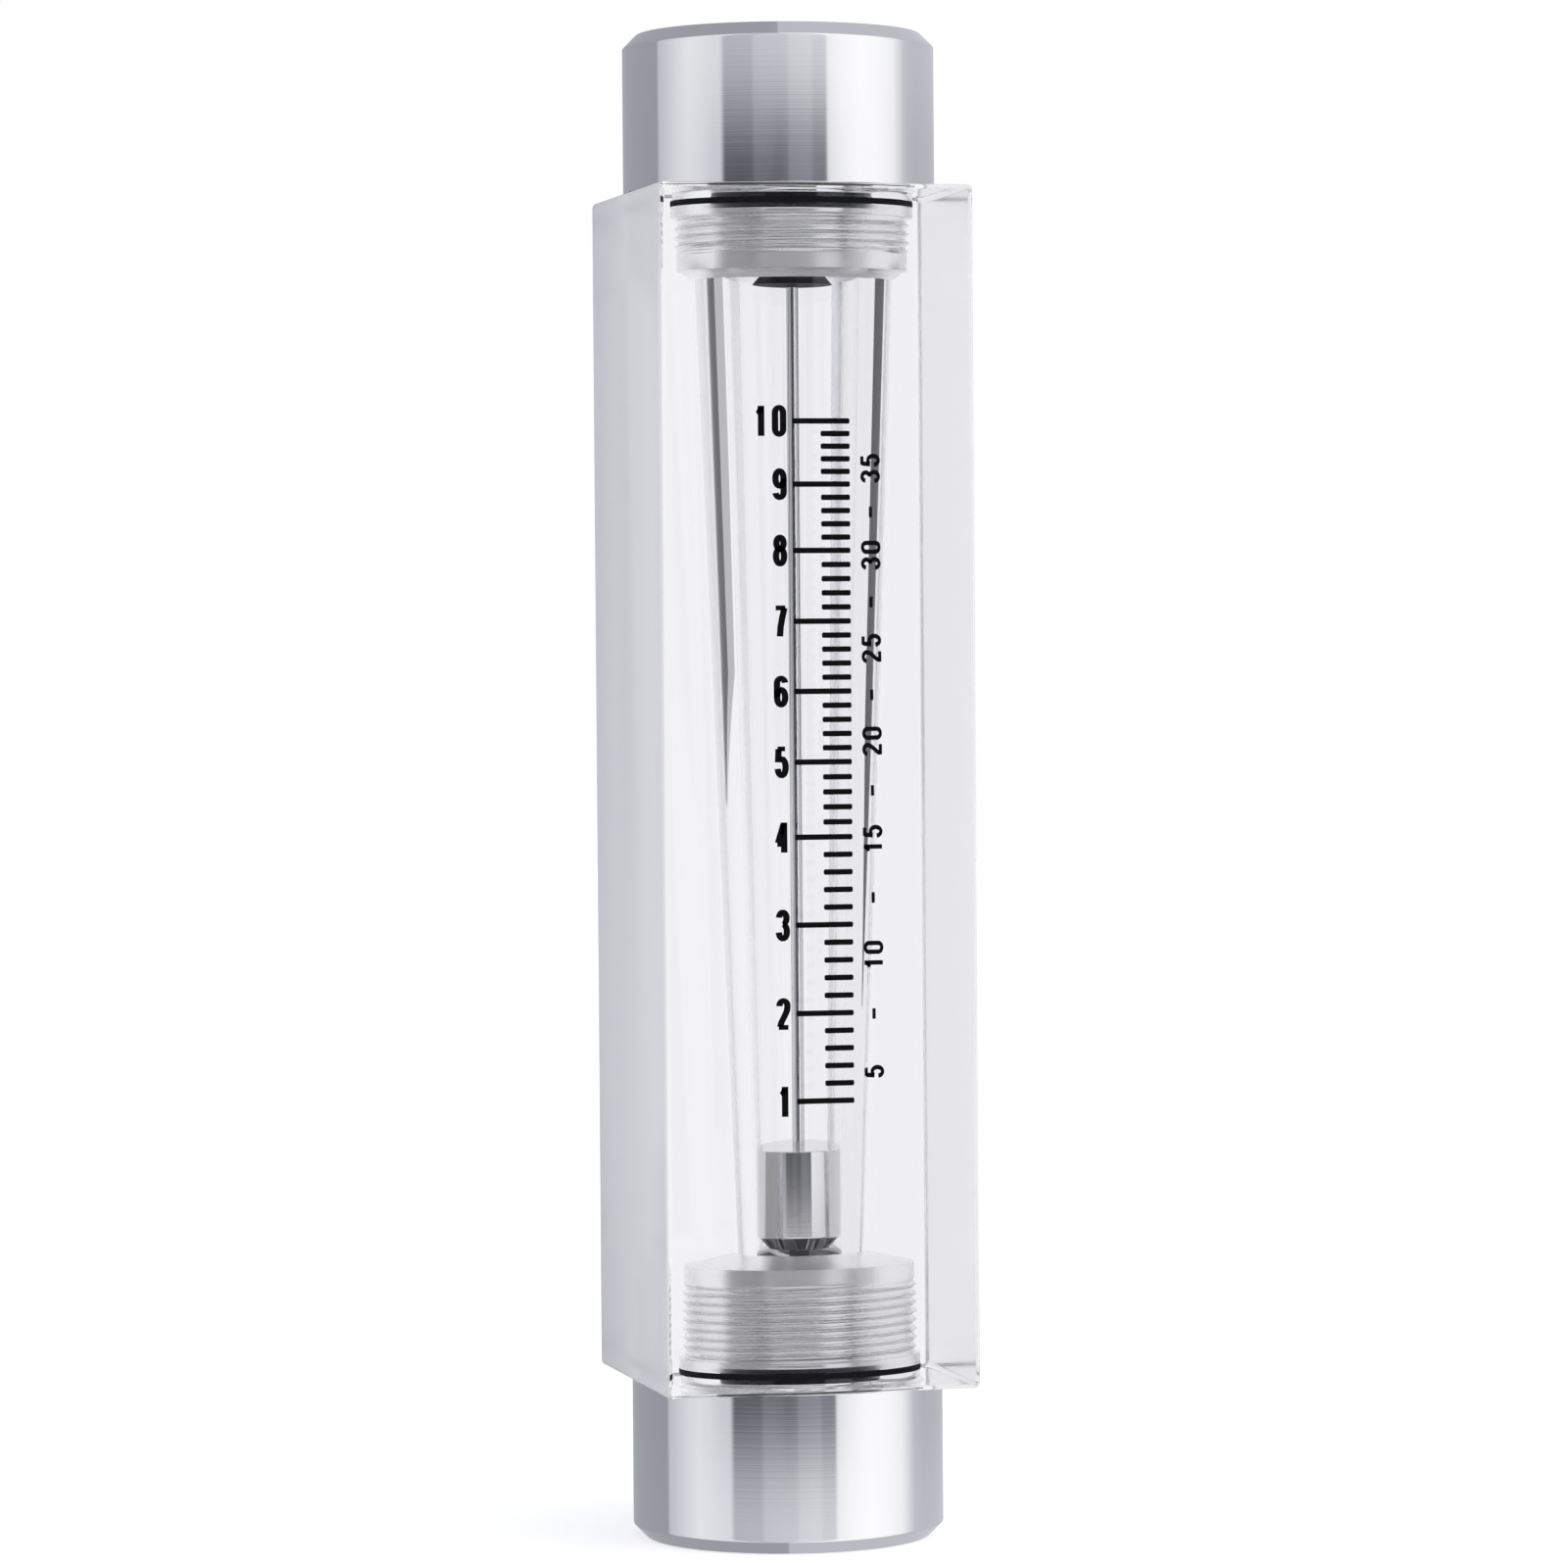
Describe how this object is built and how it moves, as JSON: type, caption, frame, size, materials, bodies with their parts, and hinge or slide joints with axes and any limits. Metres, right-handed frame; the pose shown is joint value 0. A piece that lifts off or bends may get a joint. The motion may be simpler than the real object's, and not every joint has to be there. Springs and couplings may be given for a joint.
{
  "type": "variable-area flow meter",
  "caption": "In-line variable-area flow meter: square clear acrylic block with a tapered bore, rod-guided steel float, printed scale and threaded stainless end fittings.",
  "frame": {"origin": "centre of the inlet fitting's end face, which the meter stands on", "axes": "+Z along the flow from inlet to outlet, -Y out of the face that carries the scale"},
  "size_m": [0.0508, 0.0508, 0.2413],
  "materials": {
    "clear_acrylic": "clear polished acrylic",
    "turned_stainless": "fine turned",
    "plate_stainless": "satin",
    "ground_stainless": "centreless ground",
    "black_rubber": "smooth matt",
    "black_polymer": "turned matt"
  },
  "bodies": {
    "housing": {"meter_body": "clear_acrylic", "inlet_fitting": "turned_stainless", "outlet_fitting": "turned_stainless", "inlet_o_ring": "black_rubber", "outlet_o_ring": "black_rubber", "lower_guide_plate": "plate_stainless", "upper_guide_plate": "plate_stainless", "guide_rod": "ground_stainless", "lower_lock_washer": "plate_stainless", "upper_lock_washer": "plate_stainless", "lower_rod_nut": "plate_stainless", "upper_rod_nut": "plate_stainless", "lower_float_stop": "black_polymer", "upper_float_stop": "black_polymer"},
    "float": {"metering_float": "ground_stainless"}
  },
  "joints": [
    {"name": "float_slide", "type": "slide", "parent": "housing", "child": "float", "axis": [0, 0, 1], "range_m": [0, 0.1375]}
  ]
}
